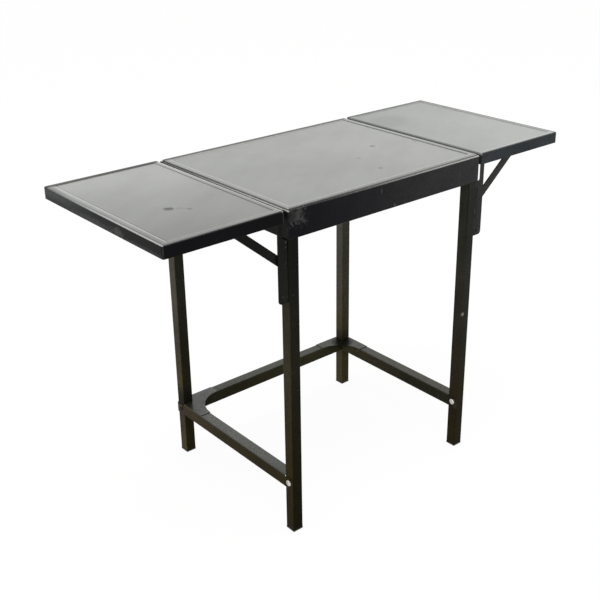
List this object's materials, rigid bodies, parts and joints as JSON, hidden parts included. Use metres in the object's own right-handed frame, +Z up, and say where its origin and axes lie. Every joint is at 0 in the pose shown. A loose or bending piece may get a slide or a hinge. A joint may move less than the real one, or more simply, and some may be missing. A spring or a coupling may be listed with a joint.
{
  "type": "drop-leaf utility table",
  "caption": "Painted steel table with a rimmed centre top, hinged drop leaves on folding stays, square-tube legs and a low three-sided rail frame with curved gussets.",
  "frame": {"origin": "on the floor under the middle of the centre top", "axes": "+X from the left leaf to the right leaf, +Y from the open front to the back rail, +Z up"},
  "size_m": [1.004, 0.404, 0.68],
  "materials": {
    "top_paint": "worn semi-gloss black paint",
    "frame_paint": "worn semi-gloss brown-black paint",
    "dark_steel": "darkened bare steel",
    "zinc": "bright zinc plating",
    "rubber_foot": "matte black rubber"
  },
  "bodies": {
    "frame": {"centre_top": "top_paint", "front_apron": "top_paint", "back_apron": "top_paint", "left_apron": "top_paint", "right_apron": "top_paint", "back_rail": "frame_paint", "left_rail": "frame_paint", "right_rail": "frame_paint", "back_left_gusset": "frame_paint", "back_right_gusset": "frame_paint", "front_left_leg": "frame_paint", "front_left_foot": "rubber_foot", "front_left_rail_bolt": "zinc", "front_left_rail_nut": "zinc", "front_left_console": "frame_paint", "front_left_stay_pivot": "dark_steel", "front_left_friction_spring": "dark_steel", "front_left_spring_rivet": "frame_paint", "front_left_hinge_pin": "dark_steel", "front_right_leg": "frame_paint", "front_right_foot": "rubber_foot", "front_right_rail_bolt": "zinc", "front_right_rail_nut": "zinc", "front_right_console": "frame_paint", "front_right_stay_pivot": "dark_steel", "front_right_friction_spring": "dark_steel", "front_right_spring_rivet": "frame_paint", "front_right_hinge_pin": "dark_steel", "back_left_leg": "frame_paint", "back_left_foot": "rubber_foot", "back_left_rail_bolt": "zinc", "back_left_rail_nut": "zinc", "back_left_console": "frame_paint", "back_left_stay_pivot": "dark_steel", "back_left_friction_spring": "dark_steel", "back_left_spring_rivet": "frame_paint", "back_left_hinge_pin": "dark_steel", "back_right_leg": "frame_paint", "back_right_foot": "rubber_foot", "back_right_rail_bolt": "zinc", "back_right_rail_nut": "zinc", "back_right_console": "frame_paint", "back_right_stay_pivot": "dark_steel", "back_right_friction_spring": "dark_steel", "back_right_spring_rivet": "frame_paint", "back_right_hinge_pin": "dark_steel"},
    "left_leaf_swing": {"left_leaf": "top_paint", "front_left_hinge_lug": "dark_steel", "back_left_hinge_lug": "dark_steel"},
    "right_leaf_swing": {"right_leaf": "top_paint", "front_right_hinge_lug": "dark_steel", "back_right_hinge_lug": "dark_steel"},
    "front_left_stay_swing": {"front_left_stay": "frame_paint"},
    "front_right_stay_swing": {"front_right_stay": "frame_paint"},
    "back_left_stay_swing": {"back_left_stay": "frame_paint"},
    "back_right_stay_swing": {"back_right_stay": "frame_paint"}
  },
  "joints": [
    {"name": "left_leaf_drop", "type": "hinge", "parent": "frame", "child": "left_leaf_swing", "pos_m": [-0.2645, 0, 0.66815], "axis": [0, -1, 0], "range_deg": [0, 90]},
    {"name": "front_left_stay_fold", "type": "hinge", "parent": "frame", "child": "front_left_stay_swing", "pos_m": [-0.2605, -0.194, 0.582], "axis": [0, -1, 0], "range_deg": [0, 129]},
    {"name": "back_left_stay_fold", "type": "hinge", "parent": "frame", "child": "back_left_stay_swing", "pos_m": [-0.2605, 0.194, 0.582], "axis": [0, -1, 0], "range_deg": [0, 129]},
    {"name": "right_leaf_drop", "type": "hinge", "parent": "frame", "child": "right_leaf_swing", "pos_m": [0.2645, 0, 0.66815], "axis": [0, 1, 0], "range_deg": [0, 90]},
    {"name": "front_right_stay_fold", "type": "hinge", "parent": "frame", "child": "front_right_stay_swing", "pos_m": [0.2605, -0.194, 0.582], "axis": [0, 1, 0], "range_deg": [0, 129]},
    {"name": "back_right_stay_fold", "type": "hinge", "parent": "frame", "child": "back_right_stay_swing", "pos_m": [0.2605, 0.194, 0.582], "axis": [0, 1, 0], "range_deg": [0, 129]}
  ],
  "couplings": [
    {"joint": "front_left_stay_fold", "follows": "left_leaf_drop", "ratio": 1.43},
    {"joint": "back_left_stay_fold", "follows": "left_leaf_drop", "ratio": 1.43},
    {"joint": "front_right_stay_fold", "follows": "right_leaf_drop", "ratio": 1.43},
    {"joint": "back_right_stay_fold", "follows": "right_leaf_drop", "ratio": 1.43}
  ]
}
